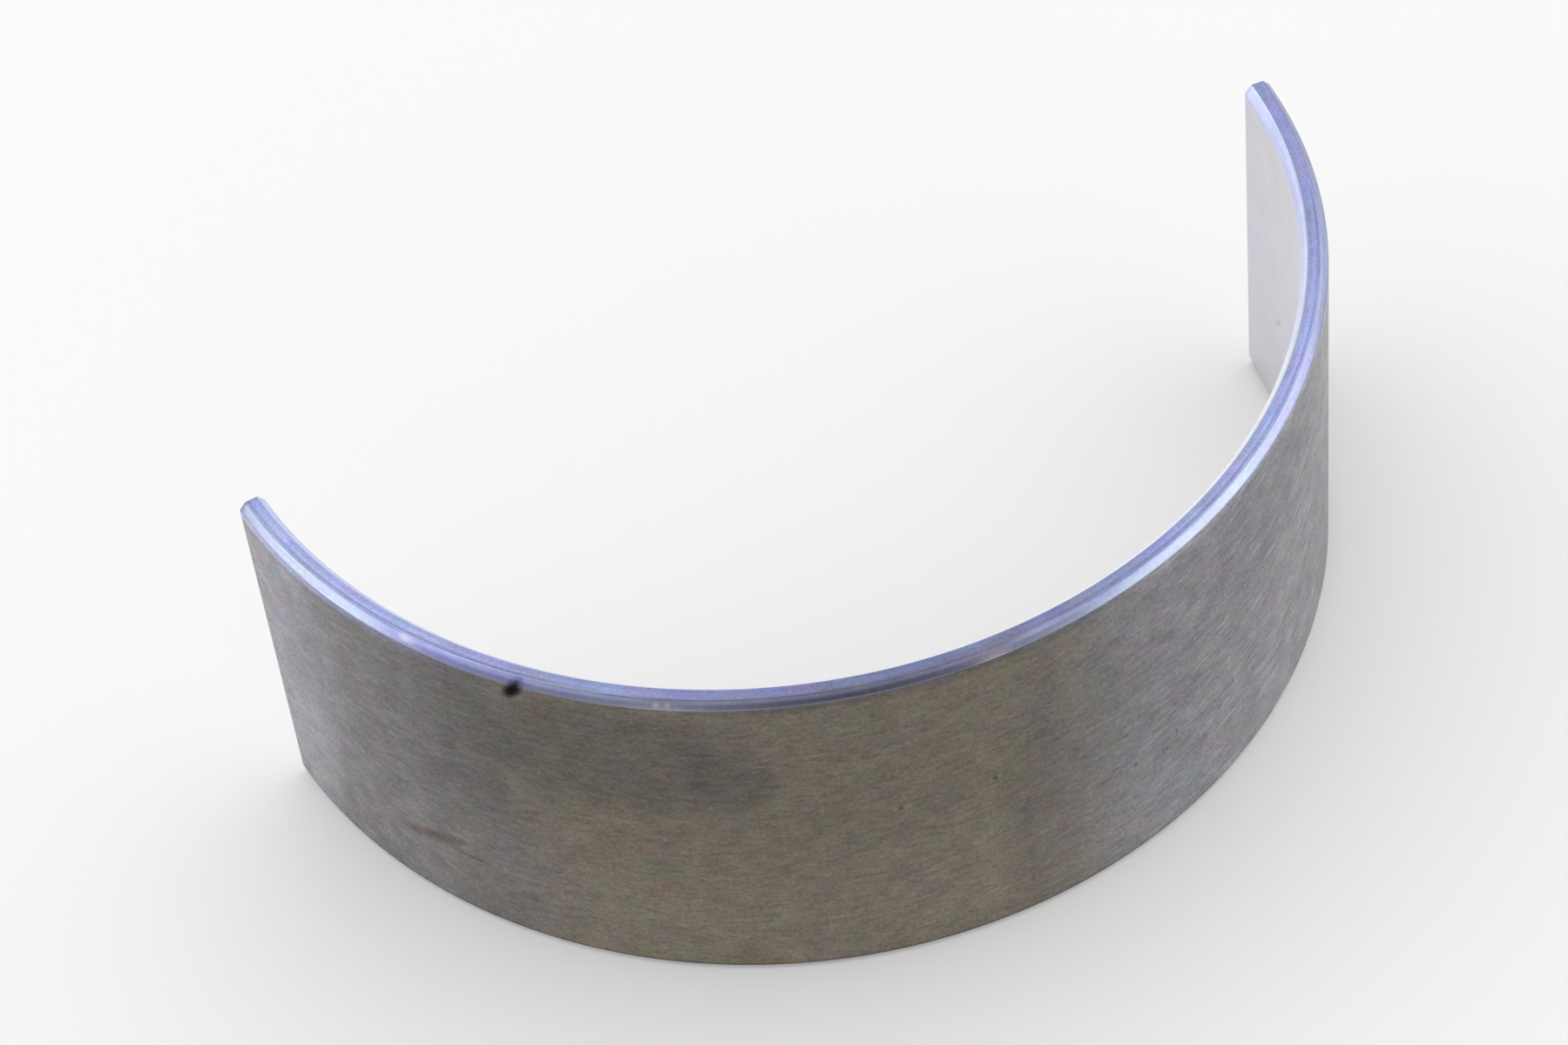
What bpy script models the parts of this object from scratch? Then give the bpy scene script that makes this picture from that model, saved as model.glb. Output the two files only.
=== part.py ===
# Half shell of a plain engine bearing, loose, as it is before fitting.
# A flat strip is bent into an arc, faced on both sides and chamfered along all four rims.
# Loose, it springs open: its circle is wider than the housing, and its arc is less than a half
# turn, because the length of its back is half the way round the housing's bore.
# It stands on one side face: the bearing's axis is upright and the crown of the back faces -Y.
# Metres, +Z up. The origin is under the middle of the shell's outline, at the face it stands on.

import math

import bmesh
import bpy

# Driving dimensions
HOUSING_BORE = 0.0600
FREE_SPREAD = 0.0028
WIDTH = 0.0224
WALL = 0.0015
OUTER_CHAMFER = 0.0004
INNER_CHAMFER_ACROSS = 0.0004
INNER_CHAMFER_DOWN = 0.0005

# The bore is eased outwards near both joint faces, so that their edges can't wipe the journal
RELIEF_DEPTH = 0.00003
RELIEF_REACH = 0.0070

# Fineness of the arc
FACET_ANGLE = math.radians(1.0)
SMOOTH_UNDER = math.radians(20)

# Finish of the turned steel back
STEEL_COLOUR = (0.36, 0.35, 0.33, 1.0)
STEEL_ROUGHNESS = 0.38
STEEL_METALLIC = 1.0

back_radius = (HOUSING_BORE + FREE_SPREAD) / 2
bore_radius = back_radius - WALL
back_length = math.pi * HOUSING_BORE / 2
half_span = back_length / back_radius / 2


def clear_scene():
    for thing in list(bpy.data.objects):
        bpy.data.objects.remove(thing, do_unlink=True)


def steel():
    material = bpy.data.materials.new("turned_steel")
    material.use_nodes = True
    shader = material.node_tree.nodes["Principled BSDF"]
    shader.inputs["Base Color"].default_value = STEEL_COLOUR
    shader.inputs["Roughness"].default_value = STEEL_ROUGHNESS
    shader.inputs["Metallic"].default_value = STEEL_METALLIC
    return material


# The strip's cross-section as (radius, height), from the lower outer rim and round
def section_points():
    flat_outer = back_radius - OUTER_CHAMFER
    flat_inner = bore_radius + INNER_CHAMFER_ACROSS
    return [
        (back_radius, OUTER_CHAMFER),
        (back_radius, WIDTH - OUTER_CHAMFER),
        (flat_outer, WIDTH),
        (flat_inner, WIDTH),
        (bore_radius, WIDTH - INNER_CHAMFER_DOWN),
        (bore_radius, INNER_CHAMFER_DOWN),
        (flat_inner, 0),
        (flat_outer, 0),
    ]


# How far the bore is eased outwards at an angle from the crown
def relief_at(angle):
    way_to_joint = (half_span - abs(angle)) * bore_radius
    share = max(0.0, 1 - way_to_joint / RELIEF_REACH)
    return RELIEF_DEPTH * share


def angle_from_crown(point):
    return math.atan2(point.x, -point.y)


# The section stands at one joint face and is spun about the bearing's axis to the other
def spin_section(shape):
    start = -half_span
    ring = [
        shape.verts.new((radius * math.sin(start), -radius * math.cos(start), height))
        for radius, height in section_points()
    ]
    section = shape.faces.new(ring)
    bmesh.ops.spin(
        shape,
        geom=[section],
        cent=(0, 0, 0),
        axis=(0, 0, 1),
        angle=2 * half_span,
        steps=math.ceil(2 * half_span / FACET_ANGLE),
    )
    bmesh.ops.recalc_face_normals(shape, faces=shape.faces)


# The bore and both of its chamfers move out together, so the chamfers keep their size
def ease_bore(shape):
    mid_wall = back_radius - WALL / 2
    for vert in shape.verts:
        radius = math.hypot(vert.co.x, vert.co.y)
        if radius < mid_wall:
            factor = 1 + relief_at(angle_from_crown(vert.co)) / radius
            vert.co.x *= factor
            vert.co.y *= factor


# Half way between the crown and the bore's corners at the joint faces
def axis_place():
    corner_radius = bore_radius + RELIEF_DEPTH
    return (back_radius + corner_radius * math.cos(half_span)) / 2


def bearing_shell():
    shape = bmesh.new()
    spin_section(shape)
    ease_bore(shape)
    mesh = bpy.data.meshes.new("bearing_shell")
    shape.to_mesh(mesh)
    shape.free()
    mesh.shade_smooth()
    mesh.set_sharp_from_angle(angle=SMOOTH_UNDER)
    shell = bpy.data.objects.new("bearing_shell", mesh)
    shell.location = (0, axis_place(), 0)
    shell.data.materials.append(steel())
    bpy.context.collection.objects.link(shell)
    return shell


clear_scene()
bearing_shell()
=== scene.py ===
# The half shell's looks: a fine model of it with rounded edges, its metals, and the studio round it
import math

import bpy
from mathutils import Matrix, Quaternion, Vector


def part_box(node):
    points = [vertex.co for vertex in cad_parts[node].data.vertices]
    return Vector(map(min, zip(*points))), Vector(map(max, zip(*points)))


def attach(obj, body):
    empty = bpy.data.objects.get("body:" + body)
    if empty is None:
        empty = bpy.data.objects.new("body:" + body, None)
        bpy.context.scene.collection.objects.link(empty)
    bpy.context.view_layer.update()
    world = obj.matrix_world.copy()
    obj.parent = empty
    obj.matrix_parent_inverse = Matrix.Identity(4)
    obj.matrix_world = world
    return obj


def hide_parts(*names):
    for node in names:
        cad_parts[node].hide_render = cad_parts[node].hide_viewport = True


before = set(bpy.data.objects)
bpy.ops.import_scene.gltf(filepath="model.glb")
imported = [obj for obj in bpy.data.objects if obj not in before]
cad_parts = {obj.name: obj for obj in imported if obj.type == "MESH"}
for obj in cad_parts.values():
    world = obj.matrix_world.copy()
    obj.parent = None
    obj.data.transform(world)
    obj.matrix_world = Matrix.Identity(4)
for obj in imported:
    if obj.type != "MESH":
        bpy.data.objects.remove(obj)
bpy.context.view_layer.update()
print("frame loaded:", sorted(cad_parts))

shellLow, shellHigh = (Vector(corner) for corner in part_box("bearing_shell"))
shellWidth = shellHigh.z - shellLow.z
shellMiddle = (shellLow + shellHigh) / 2

# The shell as it is bent and turned, in metres
shellForm = {
    "housingBore": 0.0600,
    "freeSpread": 0.0028,  # how much wider its loose circle is than the housing
    "wall": 0.0015,
    "outerChamfer": 0.0004,
    "innerChamferAcross": 0.0004,
    "innerChamferDown": 0.0005,
    "cornerRound": 0.00007,  # how far the turned corners are rounded off, each way
    "cornerSteps": 3,
    "jointEdgeRound": 0.00004,
    "jointEdgeSteps": 2,
    "arcSteps": 344,
    "mergeWithin": 0.000001,
    "onJointWithin": 0.000002,  # how near the joint plane a corner has to be to lie on it
}
backRadius = (shellForm["housingBore"] + shellForm["freeSpread"]) / 2
boreRadius = backRadius - shellForm["wall"]
arcSpan = math.pi * shellForm["housingBore"] / 2 / backRadius
axisY = shellLow.y + backRadius  # the bearing's axis stands here, on x = 0
mmPerMetre = 1000


def startClean():
    if bpy.context.object and bpy.context.object.mode != "OBJECT":
        bpy.ops.object.mode_set(mode="OBJECT")
    bpy.ops.object.select_all(action="DESELECT")


def nothingSelected():
    bpy.ops.mesh.select_all(action="DESELECT")
    bpy.ops.object.mode_set(mode="OBJECT")


def pickVerts(piece, wanted):
    nothingSelected()
    for vert in piece.data.vertices:
        vert.select = wanted(vert.co)
    bpy.ops.object.mode_set(mode="EDIT")


def pickEdges(piece, wanted):
    nothingSelected()
    places = piece.data.vertices
    for edge in piece.data.edges:
        edge.select = all(wanted(places[corner].co) for corner in edge.vertices)
    bpy.ops.object.mode_set(mode="EDIT")


# The strip's cross-section, drawn flat on x and z: a plate with its corners cut, then rounded
def drawSection():
    startClean()
    bpy.ops.mesh.primitive_plane_add(
        size=1,
        location=(backRadius - shellForm["wall"] / 2, 0, shellWidth / 2),
        rotation=(math.pi / 2, 0, 0),
    )
    section = bpy.context.object
    section.name = "bearingShell"
    section.scale = (shellForm["wall"], shellWidth, 1)
    bpy.ops.object.transform_apply(location=True, rotation=True, scale=True)
    bpy.ops.object.mode_set(mode="EDIT")
    bpy.ops.mesh.select_mode(type="VERT")
    midWall = backRadius - shellForm["wall"] / 2
    pickVerts(section, lambda place: place.x > midWall)
    bpy.ops.mesh.bevel(offset=shellForm["outerChamfer"], affect="VERTICES", segments=1)
    pickVerts(section, lambda place: place.x < midWall - shellForm["wall"] / 4)
    bpy.ops.mesh.bevel(offset=shellForm["innerChamferAcross"], affect="VERTICES", segments=1)
    lowered = shellForm["innerChamferDown"] - shellForm["innerChamferAcross"]
    nearBore = boreRadius + shellForm["innerChamferAcross"] / 2
    for side in (-1, 1):
        pickVerts(
            section,
            lambda place: place.x < nearBore and (place.z - shellWidth / 2) * side > 0,
        )
        bpy.ops.transform.translate(value=(0, 0, -side * lowered))
    bpy.ops.mesh.select_all(action="SELECT")
    bpy.ops.mesh.bevel(
        offset=shellForm["cornerRound"], affect="VERTICES", segments=shellForm["cornerSteps"]
    )
    bpy.ops.object.mode_set(mode="OBJECT")
    return section


# Carried round to the right joint face and spun about the bearing's axis to the left one
def bendShell():
    shell = drawSection()
    turn = (arcSpan - math.pi) / 2
    shell.matrix_world = Matrix.Translation((0, axisY, 0)) @ Matrix.Rotation(turn, 4, "Z")
    bpy.ops.object.transform_apply(location=True, rotation=True, scale=True)
    bpy.ops.object.mode_set(mode="EDIT")
    bpy.ops.mesh.select_all(action="SELECT")
    bpy.ops.mesh.spin(
        steps=shellForm["arcSteps"], angle=arcSpan, center=(0, axisY, 0), axis=(0, 0, 1)
    )
    bpy.ops.mesh.select_all(action="SELECT")
    bpy.ops.mesh.remove_doubles(threshold=shellForm["mergeWithin"])
    bpy.ops.mesh.normals_make_consistent(inside=False)
    # the joint faces' sharp edges are broken, as a broach leaves them after a light stoning
    jointPlane = math.cos(arcSpan / 2)
    for side in (-1, 1):
        across = Vector((side * jointPlane, math.sin(arcSpan / 2), 0))
        pickEdges(
            shell,
            lambda place: place.x * side > 0
            and abs((place - Vector((0, axisY, 0))).dot(across)) < shellForm["onJointWithin"],
        )
        bpy.ops.mesh.bevel(
            offset=shellForm["jointEdgeRound"],
            affect="EDGES",
            segments=shellForm["jointEdgeSteps"],
        )
    bpy.ops.object.mode_set(mode="OBJECT")
    return shell


shell = bendShell()
print("shell bent:", len(shell.data.polygons), "faces")


def addNode(tree, kind, **settings):
    node = tree.nodes.new(kind)
    for name, value in settings.items():
        setattr(node, name, value)
    return node


# A socket takes either another socket's output or a plain value
def feed(tree, socket, value):
    if isinstance(value, bpy.types.NodeSocket):
        tree.links.new(value, socket)
    elif socket.type == "RGBA":
        socket.default_value = (*value, 1)
    else:
        socket.default_value = value


def mathOf(tree, operation, first, second=0.0):
    node = addNode(tree, "ShaderNodeMath", operation=operation)
    feed(tree, node.inputs[0], first)
    feed(tree, node.inputs[1], second)
    return node.outputs[0]


def vectorOf(tree, operation, first, second=(0, 0, 0), result="Vector"):
    node = addNode(tree, "ShaderNodeVectorMath", operation=operation)
    feed(tree, node.inputs[0], first)
    feed(tree, node.inputs[1], second)
    return node.outputs[result]


def joinXYZ(tree, x, y, z):
    node = addNode(tree, "ShaderNodeCombineXYZ")
    for socket, value in zip(node.inputs, (x, y, z)):
        feed(tree, socket, value)
    return node.outputs[0]


def spreadTo(tree, value, fromLow, fromHigh, toLow, toHigh, smooth=False):
    node = addNode(tree, "ShaderNodeMapRange")
    node.interpolation_type = "SMOOTHSTEP" if smooth else "LINEAR"
    for socket, each in zip(node.inputs, (value, fromLow, fromHigh, toLow, toHigh)):
        feed(tree, socket, each)
    return node.outputs[0]


# The Mix node has sockets for every kind of value, and these are the ones that mix colours
mixSockets = {"share": 0, "first": 6, "second": 7, "mixed": 2}


def mixColour(tree, share, first, second):
    node = addNode(tree, "ShaderNodeMix", data_type="RGBA")
    feed(tree, node.inputs[mixSockets["share"]], share)
    feed(tree, node.inputs[mixSockets["first"]], first)
    feed(tree, node.inputs[mixSockets["second"]], second)
    return node.outputs[mixSockets["mixed"]]


# Noise from 0 to 1 whose blobs are about one unit of its place across
def noiseOf(tree, place, detail, roughness):
    node = addNode(tree, "ShaderNodeTexNoise", noise_dimensions="3D")
    feed(tree, node.inputs["Vector"], place)
    node.inputs["Scale"].default_value = 1
    node.inputs["Detail"].default_value = detail
    node.inputs["Roughness"].default_value = roughness
    return node.outputs[0]


# The same noise from -0.5 to 0.5
def aboutZero(tree, noise):
    return mathOf(tree, "SUBTRACT", noise, 0.5)


# An effect that several metals share, with what it takes and what it gives
def startGroup(name, inputs, outputs):
    tree = bpy.data.node_groups.new(name, "ShaderNodeTree")
    for side, sockets in (("INPUT", inputs), ("OUTPUT", outputs)):
        for label, kind in sockets:
            tree.interface.new_socket(name=label, in_out=side, socket_type="NodeSocket" + kind)
    takes = tree.nodes.new("NodeGroupInput").outputs
    gives = tree.nodes.new("NodeGroupOutput").inputs
    return tree, takes, gives


def useGroup(tree, group, **values):
    node = addNode(tree, "ShaderNodeGroup", node_tree=group)
    for name, value in values.items():
        feed(tree, node.inputs[name], value)
    return node.outputs


# Where a point lies on the bent strip, in mm: along the arc from the crown, up its width
# and inside its back, with the way out from the bearing's axis
def makeStripPlace():
    tree, takes, gives = startGroup(
        "stripPlace",
        [("axis", "Float"), ("radius", "Float")],
        [
            ("place", "Vector"),
            ("along", "Float"),
            ("height", "Float"),
            ("inside", "Float"),
            ("radial", "Vector"),
        ],
    )
    spot = addNode(tree, "ShaderNodeTexCoord").outputs["Object"]
    x, y, z = addNode(tree, "ShaderNodeSeparateXYZ").outputs
    tree.links.new(spot, x.node.inputs[0])
    fromAxis = mathOf(tree, "SUBTRACT", y, takes["axis"])
    angle = mathOf(tree, "ARCTAN2", x, mathOf(tree, "MULTIPLY", fromAxis, -1))
    arm = joinXYZ(tree, x, fromAxis, 0)
    arc = mathOf(tree, "MULTIPLY", angle, takes["radius"])
    along = mathOf(tree, "MULTIPLY", arc, mmPerMetre)
    height = mathOf(tree, "MULTIPLY", z, mmPerMetre)
    depth = mathOf(tree, "SUBTRACT", takes["radius"], vectorOf(tree, "LENGTH", arm, result="Value"))
    inside = mathOf(tree, "MULTIPLY", depth, mmPerMetre)
    feed(tree, gives["place"], joinXYZ(tree, along, height, inside))
    feed(tree, gives["along"], along)
    feed(tree, gives["height"], height)
    feed(tree, gives["inside"], inside)
    feed(tree, gives["radial"], vectorOf(tree, "NORMALIZE", arm))
    return tree


# The fine lines that a tool or a belt leaves, drawn out along the first axis of its place,
# and the sparse brighter streaks among them
lineNoise = {"detail": 3, "roughness": 0.65}
streakNoise = {
    "scale": (0.7, 0.3, 0.3),
    "offset": (9, 4, 0),
    "detail": 2,
    "roughness": 0.5,
    "from": 0.52,
    "full": 0.72,
}


def makeToolLines():
    tree, takes, gives = startGroup(
        "toolLines",
        [("place", "Vector"), ("length", "Float"), ("spacing", "Float"), ("shift", "Float")],
        [("lines", "Float"), ("streaks", "Float")],
    )
    stretch = joinXYZ(tree, takes["length"], takes["spacing"], takes["spacing"])
    drawn = vectorOf(tree, "DIVIDE", takes["place"], stretch)
    moved = vectorOf(tree, "ADD", drawn, joinXYZ(tree, takes["shift"], takes["shift"], 0))
    lines = noiseOf(tree, moved, lineNoise["detail"], lineNoise["roughness"])
    sparse = vectorOf(tree, "MULTIPLY", moved, streakNoise["scale"])
    sparse = vectorOf(tree, "ADD", sparse, streakNoise["offset"])
    streaks = noiseOf(tree, sparse, streakNoise["detail"], streakNoise["roughness"])
    shown = spreadTo(tree, streaks, streakNoise["from"], streakNoise["full"], 0, 1, smooth=True)
    feed(tree, gives["lines"], aboutZero(tree, lines))
    feed(tree, gives["streaks"], shown)
    return tree


# How bare metal varies, from specks to slow clouds: a tint to multiply its colour by.
# Each of its clouds is another layer of the same noise.
tintNoise = {"detail": 3, "roughness": 0.65, "hueRoughness": 0.5}
tintLayers = {"speck": 0, "slow": 3, "warm": 7, "green": 11}


def makeMetalTint():
    tree, takes, gives = startGroup(
        "metalTint",
        [
            ("place", "Vector"),
            ("speck", "Float"),
            ("cloud", "Float"),
            ("speckTone", "Float"),
            ("cloudTone", "Float"),
            ("hue", "Float"),
            ("shift", "Float"),
        ],
        [("tint", "Vector"), ("clouds", "Float")],
    )

    def cloudsOf(size, layer, roughness=tintNoise["roughness"]):
        scaled = vectorOf(tree, "DIVIDE", takes["place"], joinXYZ(tree, size, size, size))
        offset = joinXYZ(tree, takes["shift"], takes["shift"], tintLayers[layer])
        moved = vectorOf(tree, "ADD", scaled, offset)
        return aboutZero(tree, noiseOf(tree, moved, tintNoise["detail"], roughness))

    def hueOf(layer):
        clouds = cloudsOf(takes["cloud"], layer, tintNoise["hueRoughness"])
        return mathOf(tree, "MULTIPLY", clouds, takes["hue"])

    slow = cloudsOf(takes["cloud"], "slow")
    specks = mathOf(tree, "MULTIPLY", cloudsOf(takes["speck"], "speck"), takes["speckTone"])
    grey = mathOf(tree, "ADD", specks, 1)
    grey = mathOf(tree, "ADD", mathOf(tree, "MULTIPLY", slow, takes["cloudTone"]), grey)
    warm = hueOf("warm")
    green = hueOf("green")
    halfGreen = mathOf(tree, "MULTIPLY", green, 0.5)
    red = mathOf(tree, "SUBTRACT", mathOf(tree, "ADD", grey, warm), halfGreen)
    blue = mathOf(tree, "SUBTRACT", mathOf(tree, "SUBTRACT", grey, warm), halfGreen)
    feed(tree, gives["tint"], joinXYZ(tree, red, mathOf(tree, "ADD", grey, green), blue))
    feed(tree, gives["clouds"], slow)
    return tree


# A band from one value to another with soft rims, as a mask
def makeSoftBand():
    tree, takes, gives = startGroup(
        "softBand",
        [("value", "Float"), ("start", "Float"), ("end", "Float"), ("rim", "Float")],
        [("mask", "Float")],
    )

    def crossing(edge, before, after):
        low = mathOf(tree, "SUBTRACT", edge, takes["rim"])
        high = mathOf(tree, "ADD", edge, takes["rim"])
        return spreadTo(tree, takes["value"], low, high, before, after, smooth=True)

    inside = mathOf(tree, "MULTIPLY", crossing(takes["start"], 0, 1), crossing(takes["end"], 1, 0))
    feed(tree, gives["mask"], inside)
    return tree


# One spot with a soft or ragged rim, as a mask that reaches through the wall: a stain, smudge or
# speck, a patch of painted shade or a painted glint
spotRim = {"scale": (1.7, 1.7, 0), "detail": 3, "roughness": 0.6}
spotDepth = 100


def makeStain():
    tree, takes, gives = startGroup(
        "spotShape",
        [
            ("place", "Vector"),
            ("along", "Float"),
            ("height", "Float"),
            ("halfLength", "Float"),
            ("halfHeight", "Float"),
            ("tilt", "Float"),
            ("softness", "Float"),
            ("ragged", "Float"),
        ],
        [("mask", "Float")],
    )
    centre = joinXYZ(tree, takes["along"], takes["height"], 0)
    turned = addNode(tree, "ShaderNodeVectorRotate", rotation_type="Z_AXIS")
    feed(tree, turned.inputs["Vector"], vectorOf(tree, "SUBTRACT", takes["place"], centre))
    feed(tree, turned.inputs["Angle"], takes["tilt"])
    shape = joinXYZ(tree, takes["halfLength"], takes["halfHeight"], spotDepth)
    reach = vectorOf(tree, "DIVIDE", turned.outputs[0], shape)
    distance = vectorOf(tree, "LENGTH", reach, result="Value")
    rimPlace = vectorOf(tree, "MULTIPLY", reach, spotRim["scale"])
    rimPlace = vectorOf(tree, "ADD", rimPlace, centre)
    wobble = noiseOf(tree, rimPlace, spotRim["detail"], spotRim["roughness"])
    wobble = mathOf(tree, "MULTIPLY", aboutZero(tree, wobble), takes["ragged"])
    inner = mathOf(tree, "SUBTRACT", 1, takes["softness"])
    outer = mathOf(tree, "ADD", 1, takes["softness"])
    edge = mathOf(tree, "ADD", distance, wobble)
    feed(tree, gives["mask"], spreadTo(tree, edge, inner, outer, 1, 0, smooth=True))
    return tree


stripPlace = makeStripPlace()
toolLines = makeToolLines()
metalTint = makeMetalTint()
softBand = makeSoftBand()
spotShape = makeStain()
print("shared effects ready")


def bandOf(tree, value, start, end, rim):
    return useGroup(tree, softBand, value=value, start=start, end=end, rim=rim)["mask"]


# Far past the shell on either side, in mm
pastLow, pastHigh = -100, 100


def aboveOf(tree, value, start, rim):
    return bandOf(tree, value, start, pastHigh, rim)


def belowOf(tree, value, end, rim):
    return bandOf(tree, value, pastLow, end, rim)


# The stretch of the arc that a mark's own start, end and rim give
def stretchOf(tree, along, mark):
    return bandOf(tree, along, mark["start"], mark["end"], mark["rim"])


# Where two masks both show
def bothOf(tree, first, second):
    return mathOf(tree, "MULTIPLY", first, second)


# a spot's mask, for stains and specks and for painted shade and painted glints
def spotOf(tree, where, spot):
    mask = useGroup(
        tree,
        spotShape,
        place=where["place"],
        along=spot["at"][0],
        height=spot["at"][1],
        halfLength=spot["half"][0],
        halfHeight=spot["half"][1],
        tilt=-math.radians(spot.get("turn", 0)),
        softness=spot["soft"],
        ragged=spot["ragged"],
    )["mask"]
    return mathOf(tree, "MULTIPLY", mask, spot["share"])


# Colour times one plus a mask times how much lighter it gets there
def lighten(tree, colour, mask, amount):
    factor = mathOf(tree, "ADD", mathOf(tree, "MULTIPLY", mask, amount), 1)
    return vectorOf(tree, "MULTIPLY", colour, joinXYZ(tree, factor, factor, factor))


# Colour times a tint where the mask is one
def tintBy(tree, colour, mask, tint):
    return mixColour(tree, mask, colour, vectorOf(tree, "MULTIPLY", colour, tint))


# The lower side and its chamfers are plain steel; the blue cast of the upper ones is a painted
# reflection of the light from above
lowerSteel = {"colour": (0.34, 0.34, 0.37), "rim": 1}


def plainBelow(tree, where, colour):
    middle = shellWidth * mmPerMetre / 2
    below = belowOf(tree, where["height"], middle, lowerSteel["rim"])
    return mixColour(tree, below, colour, lowerSteel["colour"])


def startMaterial(name, look):
    material = bpy.data.materials.new(name)
    material.use_nodes = True
    tree = material.node_tree
    surface = tree.nodes["Principled BSDF"]
    surface.inputs["Base Color"].default_value = (*look["base"], 1)
    surface.inputs["Metallic"].default_value = 1
    surface.inputs["Roughness"].default_value = look["roughness"]
    surface.inputs["Anisotropic"].default_value = look["anisotropy"]
    where = useGroup(tree, stripPlace, axis=axisY, radius=backRadius)
    return material, tree, surface, where


def grainOf(tree, place, look):
    return useGroup(
        tree,
        toolLines,
        place=place,
        length=look["lineLength"],
        spacing=look["lineSpacing"],
        shift=look["shift"],
    )


# The lines, the tint and the bump that every one of the metals has, each by its own measures
def finishMetal(tree, surface, place, grain, look, colour):
    tint = useGroup(
        tree,
        metalTint,
        place=place,
        speck=look["speck"],
        cloud=look["cloud"],
        speckTone=look["speckTone"],
        cloudTone=look["cloudTone"],
        hue=look["hue"],
        shift=look["shift"],
    )
    colour = vectorOf(tree, "MULTIPLY", colour, tint["tint"])
    colour = lighten(tree, colour, grain["lines"], look["lineTone"])
    colour = lighten(tree, colour, grain["streaks"], look["streakTone"])
    feed(tree, surface.inputs["Base Color"], colour)
    rough = mathOf(tree, "MULTIPLY", tint["clouds"], look["roughSpread"])
    feed(tree, surface.inputs["Roughness"], mathOf(tree, "ADD", rough, look["roughness"]))
    bump = addNode(tree, "ShaderNodeBump")
    bump.inputs["Strength"].default_value = look["bump"]
    bump.inputs["Distance"].default_value = look["lineDepth"]
    feed(tree, bump.inputs["Height"], grain["lines"])
    feed(tree, surface.inputs["Normal"], bump.outputs[0])


# The ground steel back: fine lines round the arc over a handled, slightly tarnished skin
backFinish = {
    "base": (0.180, 0.171, 0.178),
    "roughness": 0.50,
    "roughSpread": 0.10,
    "anisotropy": 0.85,
    "lineLength": 1.2,
    "lineSpacing": 0.36,
    "lineTone": 0.85,
    "streakTone": 0.07,
    "lineDepth": 0.000004,
    "bump": 0.5,
    "speck": 0.24,
    "cloud": 1.9,
    "speckTone": 1.05,
    "cloudTone": 0.62,
    "hue": 0.22,
    "shift": 3.0,
}
# A fainter set of lines crosses the first at a slant, in degrees
crossLines = {"turn": 24, "length": 1.2, "spacing": 0.17, "tone": 0.30}
# Long light scratches on the right part, a little off the arc's own direction
scratches = {
    "turn": 6,
    "length": 5.5,
    "spacing": 0.14,
    "from": 0.03,
    "full": 0.14,
    "start": 10,
    "end": 50,
    "rim": 5,
    "lighter": 0.40,
}
# Tarnish and painted reflection tones round the arc in mm from the crown, each zone with a streaky
# rim
tarnishAndSheenZones = {
    "paleEnd": {"colour": (0.280, 0.274, 0.305), "start": -60, "end": -43, "rim": 2.5},
    "warmMiddle": {"colour": (0.216, 0.191, 0.154), "start": -29, "end": 2, "rim": 5},
    "coolRight": {"colour": (0.187, 0.182, 0.206), "start": 6, "end": 60, "rim": 4.5},
    "lighterRight": {"colour": (0.198, 0.192, 0.213), "start": 21, "end": 70, "rim": 6},
}
# and how far the rims wander in mm, by a slow noise and by the lines
zoneDrift = {"slow": 8, "streaky": 4, "scale": (0.16, 0.10, 0), "detail": 3, "roughness": 0.6}
# Painted light: the lower part a little brighter than the upper part, except towards the ends
lowerPaintedLight = {"start": -37, "end": 19, "rim": 6, "top": 7.5, "fade": 6.5, "lighter": 0.27}
# Just under its upper corner the back carries a paler, bluer painted reflection towards the ends, and
# painted shade between them
upperRim = {"from": 21.55, "fade": 0.25}
upperRimSheenAndShade = [
    {"start": -60, "end": -34, "rim": 3, "tint": (1.38, 1.46, 2.00)},
    {"start": -15.5, "end": 5, "rim": 3, "tint": (0.76, 0.80, 0.94)},
    {"start": 6.5, "end": 38, "rim": 2, "tint": (1.18, 1.22, 1.33)},
    {"start": 27, "end": 40, "rim": 2, "tint": (1.17, 1.16, 1.15)},
]
# Painted shade darkens the last of it above the lower corner, where it stands on the floor
lowerEdgeShade = {"to": 0.53, "fade": 0.08, "tint": (0.60, 0.60, 0.62)}
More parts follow.
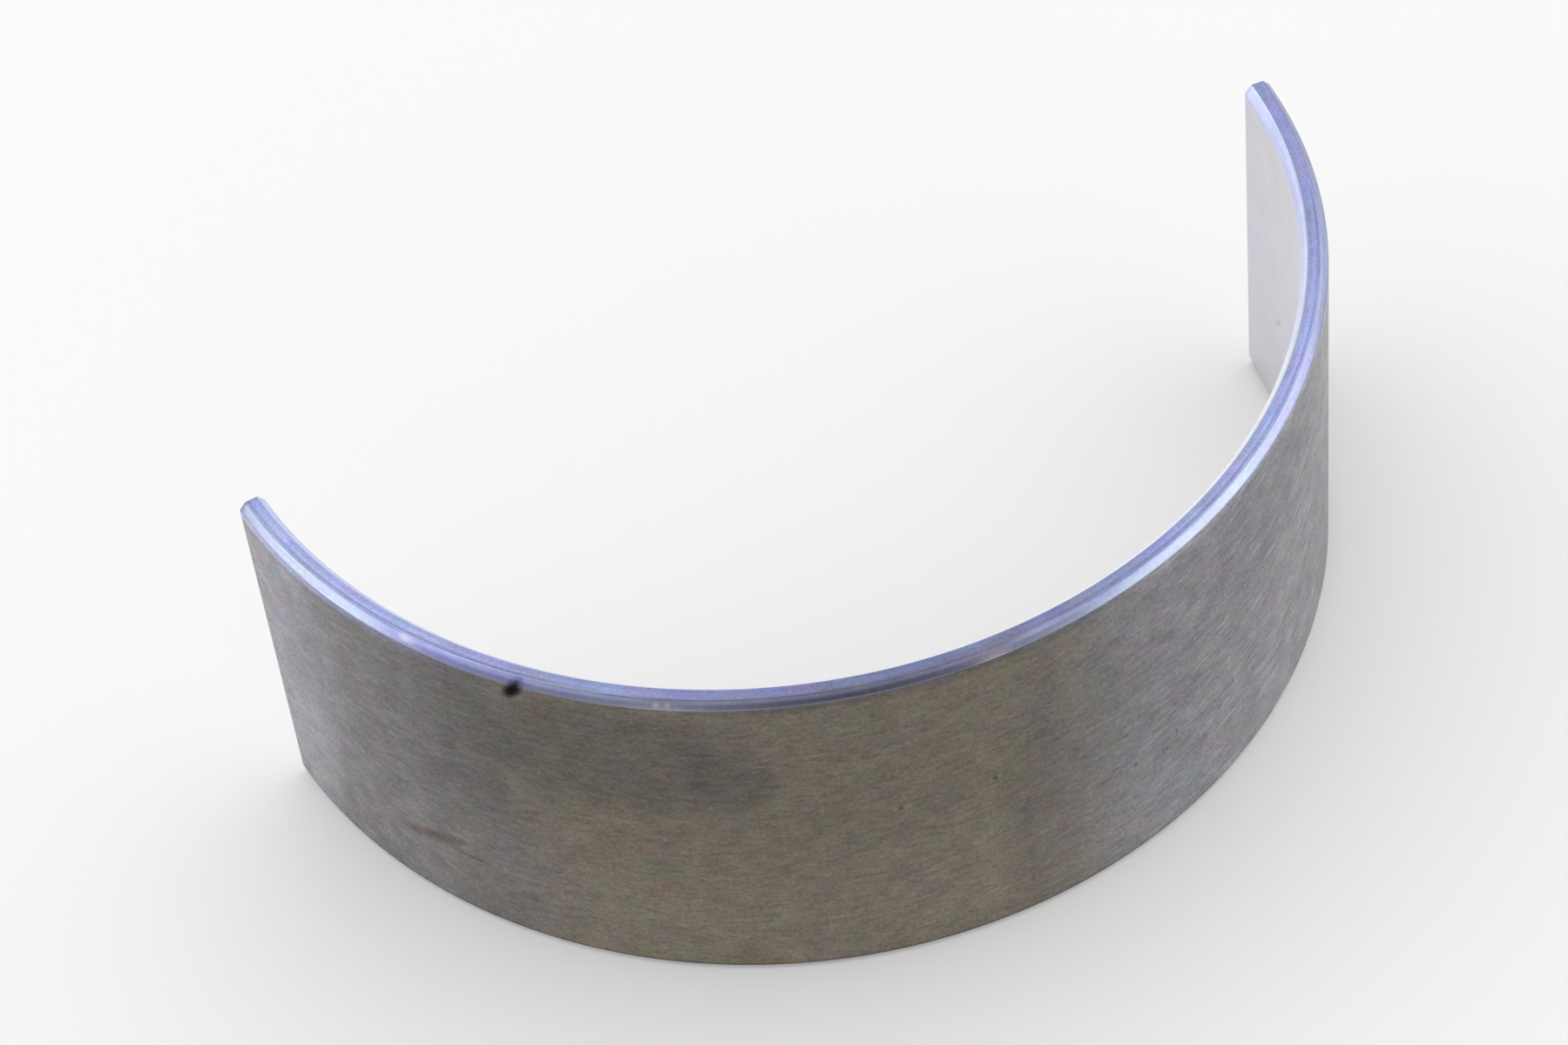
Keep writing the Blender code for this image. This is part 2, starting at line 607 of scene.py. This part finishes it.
# Stains and patches of painted shade on the back (those named shade): centre and half size in mm,
# turn in degrees, and how strongly each shows
backStainsAndShade = {
    "darkPatch": {
        "at": (-22.6, 17.6),
        "half": (7.6, 4.2),
        "soft": 0.30,
        "ragged": 0.5,
        "colour": (0.130, 0.122, 0.116),
        "share": 0.55,
    },
    "patchEnd": {
        "at": (-15.9, 16.2),
        "half": (2.3, 2.6),
        "soft": 0.30,
        "ragged": 0.4,
        "colour": (0.126, 0.120, 0.116),
        "share": 0.46,
    },
    "leftShade": {
        "at": (-30.4, 11.5),
        "half": (2.6, 14),
        "soft": 0.7,
        "ragged": 0.9,
        "colour": (0.140, 0.134, 0.136),
        "share": 0.45,
    },
    "middleShade": {
        "at": (0.4, 8),
        "half": (1.7, 11),
        "soft": 0.7,
        "ragged": 0.9,
        "colour": (0.150, 0.136, 0.130),
        "share": 0.40,
    },
    "palePatch": {
        "at": (31.5, 20),
        "half": (4.2, 8),
        "soft": 0.8,
        "ragged": 0.6,
        "colour": (0.290, 0.286, 0.300),
        "share": 0.60,
    },
    "coolShade": {
        "at": (13.2, 7),
        "half": (5.5, 8.5),
        "soft": 0.6,
        "ragged": 0.8,
        "colour": (0.150, 0.146, 0.162),
        "share": 0.42,
    },
    "upperShade": {
        "at": (17.5, 18.3),
        "half": (6, 3.6),
        "soft": 0.7,
        "ragged": 0.6,
        "colour": (0.135, 0.130, 0.148),
        "share": 0.50,
    },
    "upperLeft": {
        "at": (-42, 15),
        "half": (2.8, 9),
        "soft": 0.6,
        "ragged": 0.6,
        "colour": (0.327, 0.337, 0.417),
        "share": 0.22,
    },
    "lowLeft": {
        "at": (-30, 5.0),
        "half": (4.2, 4.6),
        "soft": 0.7,
        "ragged": 0.9,
        "colour": (0.232, 0.214, 0.206),
        "share": 0.80,
    },
    "rustySmudge": {
        "at": (-34.3, 5.5),
        "half": (2.0, 0.42),
        "turn": 16,
        "soft": 0.60,
        "ragged": 1.4,
        "colour": (0.120, 0.070, 0.070),
        "share": 0.50,
    },
    "rustyTrail": {
        "at": (-31.8, 5.2),
        "half": (1.0, 0.16),
        "soft": 0.60,
        "ragged": 1.2,
        "colour": (0.120, 0.080, 0.060),
        "share": 0.45,
    },
}
speckColour = (0.070, 0.052, 0.050)
speckRim = {"soft": 0.5, "ragged": 0.5}
# Where each speck lies, its half size and how strongly it shows
speckPlaces = [
    ((-7.3, 12.4), (0.13, 0.17), 0.65),
    ((-2.1, 12.5), (0.14, 0.14), 0.65),
    ((5.9, 10.5), (0.16, 0.12), 0.55),
    ((6.5, 7.6), (0.12, 0.15), 0.55),
    ((9.5, 10.1), (0.15, 0.12), 0.50),
    ((9.5, 7.8), (0.12, 0.12), 0.55),
    ((-36.2, 8.9), (0.10, 0.12), 0.35),
    ((21.4, 13.3), (0.12, 0.10), 0.35),
]
# A crumb of hard black dirt that sits on the upper corner of the back
dirtCrumb = {
    "at": (-26.95, 21.62),
    "half": (0.38, 0.74),
    "turn": -38,
    "soft": 0.6,
    "ragged": 0.4,
    "colour": (0.004, 0.003, 0.005),
    "share": 1.0,
}


# The tarnished skin with its painted reflection tones, before its stains, lines and specks
def tarnishAndSheenOf(tree, where, grain):
    slow = vectorOf(tree, "MULTIPLY", where["place"], zoneDrift["scale"])
    drift = noiseOf(tree, slow, zoneDrift["detail"], zoneDrift["roughness"])
    drift = mathOf(tree, "MULTIPLY", aboutZero(tree, drift), zoneDrift["slow"])
    streaky = mathOf(tree, "MULTIPLY", grain["lines"], zoneDrift["streaky"])
    along = mathOf(tree, "ADD", mathOf(tree, "ADD", where["along"], drift), streaky)
    colour = backFinish["base"]
    # tarnish, with painted reflection tones at the paler ends and the cooler right
    for zone in tarnishAndSheenZones.values():
        colour = mixColour(tree, stretchOf(tree, along, zone), colour, zone["colour"])
    # painted light on the lower part of the back
    across = stretchOf(tree, along, lowerPaintedLight)
    below = belowOf(tree, where["height"], lowerPaintedLight["top"], lowerPaintedLight["fade"])
    return lighten(tree, colour, bothOf(tree, across, below), lowerPaintedLight["lighter"])


def slantedLines(tree, where, drawn, shift):
    slant = addNode(tree, "ShaderNodeVectorRotate", rotation_type="Z_AXIS")
    feed(tree, slant.inputs["Vector"], where["place"])
    feed(tree, slant.inputs["Angle"], -math.radians(drawn["turn"]))
    placed = slant.outputs[0]
    return useGroup(
        tree, toolLines, place=placed, length=drawn["length"], spacing=drawn["spacing"], shift=shift
    )["lines"]


def makeBackMetal():
    look = backFinish
    material, tree, surface, where = startMaterial("groundBack", look)
    grain = grainOf(tree, where["place"], look)
    colour = tarnishAndSheenOf(tree, where, grain)
    # stains, and the patches of painted shade
    for spot in backStainsAndShade.values():
        colour = mixColour(tree, spotOf(tree, where, spot), colour, spot["colour"])
    for at, half, share in speckPlaces:
        spot = {"at": at, "half": half, "share": share, **speckRim}
        colour = mixColour(tree, spotOf(tree, where, spot), colour, speckColour)
    crossed = slantedLines(tree, where, crossLines, look["shift"])
    colour = lighten(tree, colour, crossed, crossLines["tone"])
    scratched = slantedLines(tree, where, scratches, -look["shift"])
    scratched = spreadTo(tree, scratched, scratches["from"], scratches["full"], 0, 1, smooth=True)
    scratched = bothOf(tree, scratched, stretchOf(tree, where["along"], scratches))
    colour = lighten(tree, colour, scratched, scratches["lighter"])
    # painted reflection and painted shade just under the upper corner
    upper = aboveOf(tree, where["height"], upperRim["from"], upperRim["fade"])
    for part in upperRimSheenAndShade:
        arc = stretchOf(tree, where["along"], part)
        colour = tintBy(tree, colour, bothOf(tree, arc, upper), part["tint"])
    # painted shade along the lower edge
    lower = belowOf(tree, where["height"], lowerEdgeShade["to"], lowerEdgeShade["fade"])
    colour = tintBy(tree, colour, lower, lowerEdgeShade["tint"])
    colour = mixColour(tree, spotOf(tree, where, dirtCrumb), colour, dirtCrumb["colour"])
    finishMetal(tree, surface, where["place"], grain, look, colour)
    feed(tree, surface.inputs["Tangent"], joinXYZ(tree, 0, 0, 1))
    return material


# The faced sides, cut by a tool that ran round the arc
sideFinish = {
    # its blue is a painted reflection of the light from above
    "base": (0.330, 0.360, 0.668),
    "roughness": 0.45,
    "roughSpread": 0.10,
    "anisotropy": 0.80,
    "lineLength": 5.0,
    "lineSpacing": 0.10,
    "lineTone": 0.62,
    "streakTone": 0.05,
    "lineDepth": 0.000003,
    "bump": 0.4,
    "speck": 0.20,
    "cloud": 2.2,
    "speckTone": 0.80,
    "cloudTone": 0.58,
    "hue": 0.30,
    "shift": 11.0,
}
# Darker cut lines on the sides, in mm inside the back, and the stretch of the arc each shows on
sideRules = {
    "leftRule": {"inside": 0.54, "half": 0.09, "shownOn": (-60, -24), "tint": (0.71, 0.71, 0.69)},
    "rightRule": {"inside": 0.54, "half": 0.09, "shownOn": (3, 38), "tint": (0.71, 0.70, 0.79)},
    "middleRule": {"inside": 0.90, "half": 0.03, "shownOn": (-60, 60), "tint": (0.90, 0.90, 0.90)},
    "innerRule": {"inside": 1.05, "half": 0.04, "shownOn": (-60, 60), "tint": (0.90, 0.90, 0.90)},
}
ruleRim = {"across": 0.04, "along": 4}
# A paler stretch of the sides, left of the crown
paleStretch = {"start": -24, "end": -2, "rim": 4, "lighter": 0.12}


def makeSideMetal():
    look = sideFinish
    material, tree, surface, where = startMaterial("facedSide", look)
    grain = grainOf(tree, where["place"], look)
    stretch = stretchOf(tree, where["along"], paleStretch)
    colour = lighten(tree, look["base"], stretch, paleStretch["lighter"])
    for rule in sideRules.values():
        low, high = rule["inside"] - rule["half"], rule["inside"] + rule["half"]
        line = bandOf(tree, where["inside"], low, high, ruleRim["across"])
        start, end = rule["shownOn"]
        shown = bandOf(tree, where["along"], start, end, ruleRim["along"])
        colour = tintBy(tree, colour, bothOf(tree, shown, line), rule["tint"])
    # the lower half is plain steel, without the painted blue reflection
    colour = plainBelow(tree, where, colour)
    finishMetal(tree, surface, where["place"], grain, look, colour)
    feed(tree, surface.inputs["Tangent"], where["radial"])
    return material


# The cut chamfers along the back: painted shade darkens them like the back through the middle of the
# arc, with a painted highlight on the upper edge
chamferFinish = {
    # its blue is a painted reflection of the light from above
    "base": (0.275, 0.303, 0.430),
    "roughness": 0.34,
    "roughSpread": 0.10,
    "anisotropy": 0.60,
    "lineLength": 3.5,
    "lineSpacing": 0.10,
    "lineTone": 0.50,
    "streakTone": 0.05,
    "lineDepth": 0.000002,
    "bump": 0.4,
    "speck": 0.25,
    "cloud": 2.0,
    "speckTone": 0.45,
    "cloudTone": 0.20,
    "hue": 0.20,
    "shift": 23.0,
}
# Colours round the arc in mm from the crown, then the painted shade that creeps up from the back's
# side
chamferZones = [
    {"start": -38.5, "end": -34.5, "rim": 1.5, "colour": (0.308, 0.340, 0.470)},
    {"start": -34.5, "end": -25, "rim": 3, "colour": (0.232, 0.245, 0.425)},
    {"start": 17.5, "end": 30, "rim": 3, "colour": (0.238, 0.250, 0.405)},
    {"start": 31, "end": 60, "rim": 3, "colour": (0.318, 0.350, 0.545)},
]
chamferPaintedShade = [
    {"start": -28, "end": -1, "rim": 3, "reach": 0.12, "fade": 0.14, "share": 0.36},
    {"start": -14.5, "end": -3, "rim": 3, "reach": 0.21, "fade": 0.13, "share": 0.63},
    {"start": -5, "end": 8, "rim": 3, "reach": 0.03, "fade": 0.08, "share": 0.50},
]
chamferShadeColour = (0.126, 0.122, 0.170)
# Its upper edge carries a painted highlight on this stretch and a little painted shade past it
chamferPaintedHighlight = {"start": -32, "end": 3, "rim": 3.5, "reach": 0.25, "fade": 0.10, "lighter": 1.4}
pastHighlightShade = {"reach": 0.38, "fade": 0.05, "lighter": -0.40}
# and its upper half carries a bluer painted reflection than the lower one
upperBlueSheen = {"start": -38, "end": 12, "rim": 4, "reach": 0.2, "fade": 0.08, "tint": (0.97, 0.98, 1.20)}
# Painted glints on small bright nicks, and one pinkish rub, on the upper chamfer
glintColour = (0.60, 0.64, 0.77)
glowColour = (0.42, 0.42, 0.52)
rubColour = (0.46, 0.42, 0.52)
glintRim = {"soft": 0.8, "ragged": 0.4}
chamferNickGlints = {
    "leftNickGlint": {"at": (-33.4, 22.27), "half": (0.44, 0.11), "colour": glintColour, "share": 0.55},
    "pairGlow": {"at": (-18.9, 22.2), "half": (1.8, 0.3), "colour": glowColour, "share": 0.45},
    "firstOfPair": {"at": (-19.2, 22.2), "half": (0.15, 0.12), "colour": glintColour, "share": 0.8},
    "secondOfPair": {"at": (-18.6, 22.2), "half": (0.13, 0.12), "colour": glintColour, "share": 0.7},
    "pinkRub": {"at": (-1.5, 22.15), "half": (0.9, 0.35), "colour": rubColour, "share": 0.7},
}


def makeChamferMetal():
    look = chamferFinish
    material, tree, surface, where = startMaterial("cutChamfer", look)
    grain = grainOf(tree, where["place"], look)
    streaky = mathOf(tree, "MULTIPLY", grain["lines"], zoneDrift["streaky"])
    streaky = mathOf(tree, "ADD", where["along"], streaky)
    colour = look["base"]
    for zone in chamferZones:
        colour = mixColour(tree, stretchOf(tree, streaky, zone), colour, zone["colour"])
    # painted shade on the chamfer's lower part
    for dark in chamferPaintedShade:
        arc = stretchOf(tree, streaky, dark)
        edge = belowOf(tree, where["inside"], dark["reach"], dark["fade"])
        share = mathOf(tree, "MULTIPLY", bothOf(tree, arc, edge), dark["share"])
        colour = mixColour(tree, share, colour, chamferShadeColour)
    # painted highlight on the upper edge, and painted shade past it
    highlightArc = stretchOf(tree, streaky, chamferPaintedHighlight)
    highlightEdge = aboveOf(tree, where["inside"], chamferPaintedHighlight["reach"], chamferPaintedHighlight["fade"])
    colour = lighten(tree, colour, bothOf(tree, highlightArc, highlightEdge), chamferPaintedHighlight["lighter"])
    topEdge = aboveOf(tree, where["inside"], pastHighlightShade["reach"], pastHighlightShade["fade"])
    pastHighlight = mathOf(tree, "SUBTRACT", 1, highlightArc)
    colour = lighten(tree, colour, bothOf(tree, pastHighlight, topEdge), pastHighlightShade["lighter"])
    # painted bluish reflection on the upper half
    sheenArc = stretchOf(tree, where["along"], upperBlueSheen)
    upper = aboveOf(tree, where["inside"], upperBlueSheen["reach"], upperBlueSheen["fade"])
    colour = tintBy(tree, colour, bothOf(tree, sheenArc, upper), upperBlueSheen["tint"])
    # painted glints on the nicks, and the rub
    for spot in chamferNickGlints.values():
        mask = spotOf(tree, where, {**glintRim, **spot})
        colour = mixColour(tree, mask, colour, spot["colour"])
    colour = plainBelow(tree, where, colour)
    colour = mixColour(tree, spotOf(tree, where, dirtCrumb), colour, dirtCrumb["colour"])
    finishMetal(tree, surface, where["place"], grain, look, colour)
    feed(tree, surface.inputs["Tangent"], joinXYZ(tree, 0, 0, 1))
    return material


# The chamfers along the bore, cut bright through the lining
boreChamferFinish = {
    # its blue is a painted reflection of the light from above
    "base": (0.56, 0.605, 0.87),
    "roughness": 0.36,
    "roughSpread": 0.10,
    "anisotropy": 0.60,
    "lineLength": 4.0,
    "lineSpacing": 0.10,
    "lineTone": 0.40,
    "streakTone": 0.03,
    "lineDepth": 0.000002,
    "bump": 0.4,
    "speck": 0.25,
    "cloud": 1.6,
    "speckTone": 0.35,
    "cloudTone": 0.22,
    "hue": 0.16,
    "shift": 29.0,
}
# A painted highlight makes the cut brightest here, in mm from the crown, and painted shade dulls its
# top further round
cutHighlight = {"start": -8, "end": 29, "rim": 9, "colour": (0.855, 0.895, 1.0)}
topShade = {"start": 16, "end": 38, "rim": 4, "reach": 1.18, "fade": 0.09, "lighter": -0.30}
# A painted highlight line follows just under its top edge towards the right end
highlightLine = {
    "start": 30,
    "end": 41,
    "rim": 2.5,
    "inside": 1.215,
    "half": 0.065,
    "fade": 0.04,
    "lighter": 0.17,
}


def makeBoreChamferMetal():
    look = boreChamferFinish
    material, tree, surface, where = startMaterial("brightChamfer", look)
    grain = grainOf(tree, where["place"], look)
    # painted highlight on the cut, and painted shade along its top further round
    bright = stretchOf(tree, where["along"], cutHighlight)
    colour = mixColour(tree, bright, look["base"], cutHighlight["colour"])
    past = stretchOf(tree, where["along"], topShade)
    top = belowOf(tree, where["inside"], topShade["reach"], topShade["fade"])
    colour = lighten(tree, colour, bothOf(tree, past, top), topShade["lighter"])
    # painted highlight line under the top edge
    line = highlightLine
    low, high = line["inside"] - line["half"], line["inside"] + line["half"]
    across = bandOf(tree, where["inside"], low, high, line["fade"])
    along = stretchOf(tree, where["along"], line)
    colour = lighten(tree, colour, bothOf(tree, along, across), line["lighter"])
    colour = plainBelow(tree, where, colour)
    finishMetal(tree, surface, where["place"], grain, look, colour)
    feed(tree, surface.inputs["Tangent"], joinXYZ(tree, 0, 0, 1))
    return material


# The bored lining, a pale satin alloy
boreFinish = {
    "base": (0.620, 0.608, 0.662),
    "roughness": 0.42,
    "roughSpread": 0.10,
    "anisotropy": 0.60,
    "lineLength": 14.0,
    "lineSpacing": 0.14,
    "lineTone": 0.20,
    "streakTone": 0.02,
    "lineDepth": 0.000002,
    "bump": 0.4,
    "speck": 0.25,
    "cloud": 2.0,
    "speckTone": 0.16,
    "cloudTone": 0.12,
    "hue": 0.10,
    "shift": 31.0,
}
# A cooler rim by the upper side, in mm, and one small nick
boreEdge = {"reach": 0.55, "fade": 0.35, "colour": (0.60, 0.60, 0.77)}
boreNick = {
    "at": (41.93, 8.1),
    "half": (0.84, 0.15),
    "turn": -46,
    "soft": 0.7,
    "ragged": 0.3,
    "colour": (0.36, 0.37, 0.37),
    "share": 0.5,
}


def makeBoreMetal():
    look = boreFinish
    material, tree, surface, where = startMaterial("boredLining", look)
    grain = grainOf(tree, where["place"], look)
    top = shellWidth * mmPerMetre - boreEdge["reach"] - boreEdge["fade"]
    plain = belowOf(tree, where["height"], top, boreEdge["fade"])
    colour = mixColour(tree, plain, boreEdge["colour"], look["base"])
    colour = mixColour(tree, spotOf(tree, where, boreNick), colour, boreNick["colour"])
    finishMetal(tree, surface, where["place"], grain, look, colour)
    feed(tree, surface.inputs["Tangent"], joinXYZ(tree, 0, 0, 1))
    return material


# The broached joint faces, with their lines across the wall
jointFinish = {
    "base": (0.40, 0.41, 0.50),
    "roughness": 0.38,
    "roughSpread": 0.10,
    "anisotropy": 0.50,
    "lineLength": 3.0,
    "lineSpacing": 0.12,
    "lineTone": 0.50,
    "streakTone": 0.06,
    "lineDepth": 0.000003,
    "bump": 0.4,
    "speck": 0.20,
    "cloud": 1.5,
    "speckTone": 0.40,
    "cloudTone": 0.20,
    "hue": 0.14,
    "shift": 41.0,
}
# The lining's own layer shows there, in mm inside the back
liningSet = {"from": 1.22, "rim": 0.02, "colour": (0.56, 0.56, 0.61)}


def makeJointMetal():
    look = jointFinish
    material, tree, surface, where = startMaterial("broachedJoint", look)
    turned = joinXYZ(tree, where["inside"], where["height"], where["along"])
    grain = grainOf(tree, turned, look)
    lining = aboveOf(tree, where["inside"], liningSet["from"], liningSet["rim"])
    colour = mixColour(tree, lining, look["base"], liningSet["colour"])
    finishMetal(tree, surface, turned, grain, look, colour)
    feed(tree, surface.inputs["Tangent"], joinXYZ(tree, 0, 0, 1))
    return material


# Each face takes its metal by how far it looks along the arc or up. The round between the back
# and its chamfer goes with the chamfer above, and mostly with the back below.
faceTurns = {"joint": 0.5, "side": 0.93, "chamfer": 0.3, "chamferUnderBack": 0.6}


def paintShell():
    walls = (makeBackMetal, makeBoreMetal, makeSideMetal)
    edges = (makeChamferMetal, makeBoreChamferMetal, makeJointMetal)
    for make in walls + edges:
        shell.data.materials.append(make())
    back, bore, side, chamfer, boreChamfer, joint = range(len(walls + edges))
    midRadius = (backRadius + boreRadius) / 2
    for face in shell.data.polygons:
        arm = Vector((face.center.x, face.center.y - axisY, 0))
        outward = arm.length > midRadius
        arm.normalize()
        along = abs(face.normal.dot(Vector((-arm.y, arm.x, 0))))
        up = abs(face.normal.z)
        underBack = outward and face.normal.z < 0
        if along > faceTurns["joint"]:
            face.material_index = joint
        elif up > faceTurns["side"]:
            face.material_index = side
        elif up > faceTurns["chamferUnderBack" if underBack else "chamfer"]:
            face.material_index = chamfer if outward else boreChamfer
        else:
            face.material_index = back if outward else bore


def smoothShell():
    startClean()
    shell.select_set(True)
    bpy.context.view_layer.objects.active = shell
    bpy.ops.object.shade_smooth()
    weighting = shell.modifiers.new("flatsStayFlat", "WEIGHTED_NORMAL")
    weighting.weight = 100  # the largest faces alone set the normals
    weighting.keep_sharp = False
    bpy.ops.object.modifier_apply(modifier=weighting.name)


paintShell()
smoothShell()
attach(shell, "root")
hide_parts("bearing_shell")
print("shell painted")


# The way from the shell's middle to a place round it, by degrees round from -Y towards +X and up
def wayTo(azimuth, elevation):
    turn, rise = math.radians(azimuth), math.radians(elevation)
    level = math.cos(rise)
    return Vector((math.sin(turn) * level, -math.cos(turn) * level, math.sin(rise)))


cameraSet = {
    "azimuth": -21.1241,
    "elevation": 48.2735,
    "roll": -7.0671,
    "distance": 0.26791,
    "lens": 111.695,
    "sensor": 36,
    "clip": (0.01, 20),
    "aimBeside": Vector((-0.00331, 0.00802, 0)),  # where it looks, from the shell's middle
}


def setCamera():
    cameraData = bpy.data.cameras.new("camera")
    camera = bpy.data.objects.new("camera", cameraData)
    bpy.context.scene.collection.objects.link(camera)
    cameraData.lens = cameraSet["lens"]
    cameraData.sensor_width = cameraSet["sensor"]
    cameraData.clip_start, cameraData.clip_end = cameraSet["clip"]
    way = wayTo(cameraSet["azimuth"], cameraSet["elevation"])
    camera.location = shellMiddle + cameraSet["aimBeside"] + way * cameraSet["distance"]
    camera.rotation_mode = "QUATERNION"
    roll = Quaternion((0, 0, 1), math.radians(cameraSet["roll"]))
    camera.rotation_quaternion = (-way).to_track_quat("-Z", "Y") @ roll
    bpy.context.scene.camera = camera


# Paint with no gloss, for what stands round the shell
def mattPaint(name, colour):
    paint = bpy.data.materials.new(name)
    paint.use_nodes = True
    surface = paint.node_tree.nodes["Principled BSDF"]
    surface.inputs["Base Color"].default_value = (*colour, 1)
    surface.inputs["Roughness"].default_value = 1
    surface.inputs["Specular IOR Level"].default_value = 0
    return paint


# A plain pale floor, wide enough to fill the view from all round
floorSet = {"half": 3.0, "colour": (0.92, 0.92, 0.92)}


def layFloor():
    startClean()
    bpy.ops.mesh.primitive_plane_add(size=2 * floorSet["half"], location=(0, 0, 0))
    floor = bpy.context.object
    floor.name = "studioFloor"
    floor.data.materials.append(mattPaint("paleFloor", floorSet["colour"]))


# White where the camera and the metal look past the floor, a little stronger as a light
worldSet = {"colour": (1, 1, 1), "seen": 1.0, "light": 1.05}


def setWorld():
    world = bpy.data.worlds.new("studioWhite")
    world.use_nodes = True
    bpy.context.scene.world = world
    tree = world.node_tree
    background = tree.nodes["Background"]
    background.inputs["Color"].default_value = (*worldSet["colour"], 1)
    path = addNode(tree, "ShaderNodeLightPath").outputs
    seen = mathOf(tree, "MAXIMUM", path["Is Camera Ray"], path["Is Glossy Ray"])
    seen = mathOf(tree, "MAXIMUM", seen, path["Is Transmission Ray"])
    strength = spreadTo(tree, seen, 0, 1, worldSet["light"], worldSet["seen"])
    feed(tree, background.inputs["Strength"], strength)


# Softboxes round the shell: where each stands, how far it is rolled, its size in metres,
# and how bright its face is beside the world's white
softboxes = {
    "rightBox": {
        "azimuth": 69,
        "elevation": 25.6,
        "roll": 50,
        "distance": 0.35,
        "size": (0.994, 0.350),
        "brightness": 2.1,
        "colour": (0.97, 1.0, 0.87),
    },
    "leftBox": {
        "azimuth": -129,
        "elevation": 41.8,
        "roll": -49,
        "distance": 0.35,
        "size": (0.686, 0.224),
        "brightness": 2.1,
        "colour": (0.98, 1.0, 0.91),
    },
}


def standFacing(thing, place):
    way = wayTo(place["azimuth"], place["elevation"])
    thing.location = shellMiddle + way * place["distance"]
    thing.rotation_mode = "QUATERNION"
    roll = Quaternion((0, 0, 1), math.radians(place["roll"]))
    thing.rotation_quaternion = way.to_track_quat("Z", "Y") @ roll


def hangSoftboxes():
    for name, box in softboxes.items():
        lampData = bpy.data.lights.new(name, "AREA")
        lampData.shape = "RECTANGLE"
        lampData.size, lampData.size_y = box["size"]
        # a lamp of this power has a face of that brightness
        lampData.energy = box["brightness"] * math.pi * lampData.size * lampData.size_y
        lampData.color = box["colour"]
        lamp = bpy.data.objects.new(name, lampData)
        bpy.context.scene.collection.objects.link(lamp)
        standFacing(lamp, box)
        lamp.visible_diffuse = False


# A dark card overhead, which only the metal sees
cardSet = {
    "azimuth": -55.4,
    "elevation": 84.8,
    "roll": -6,
    "distance": 0.6,
    "size": (1.63, 1.34),
    "colour": (0.077, 0.050, 0.030),
}


def hangCard():
    startClean()
    bpy.ops.mesh.primitive_plane_add(size=1)
    card = bpy.context.object
    card.name = "darkCard"
    card.scale = (*cardSet["size"], 1)
    standFacing(card, cardSet)
    card.data.materials.append(mattPaint("darkFelt", cardSet["colour"]))
    card.visible_camera = False
    card.visible_diffuse = False
    card.visible_transmission = False
    card.visible_shadow = False


setCamera()
layFloor()
setWorld()
hangSoftboxes()
hangCard()
bpy.context.scene.view_settings.view_transform = "Standard"
print("studio ready")
